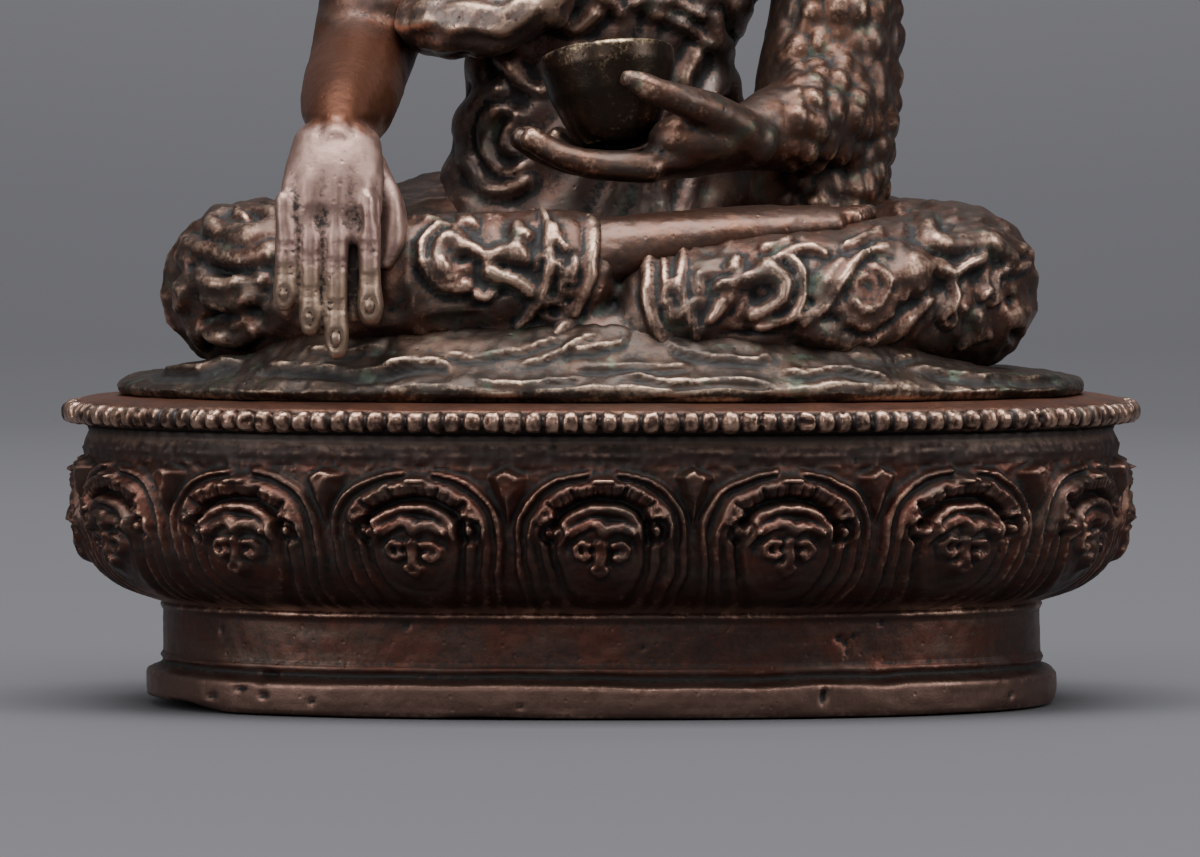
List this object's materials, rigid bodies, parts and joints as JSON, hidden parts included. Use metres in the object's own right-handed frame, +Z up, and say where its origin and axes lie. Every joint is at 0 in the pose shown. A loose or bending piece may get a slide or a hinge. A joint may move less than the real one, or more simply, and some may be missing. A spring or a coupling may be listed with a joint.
{
  "type": "seated buddha statue",
  "caption": "Cast copper statue of a seated buddha touching the ground with one hand and holding an alms bowl, on an oval lotus base with a beaded rim.",
  "frame": {"origin": "on the table, under the middle of the oval base", "axes": "+X is the viewer's right, -Y is the front that faces the viewer, +Z is up"},
  "size_m": [0.11, 0.078, 0.1425],
  "materials": {
    "base_copper": "oxidised brown copper with rubbed edges",
    "figure_copper": "oxidised brown copper with rubbed edges",
    "bowl_copper": "dark oxidised copper with a bright rim"
  },
  "bodies": {
    "root": {"lotus_base": "base_copper", "buddha_figure": "figure_copper", "alms_bowl": "bowl_copper"}
  },
  "joints": []
}
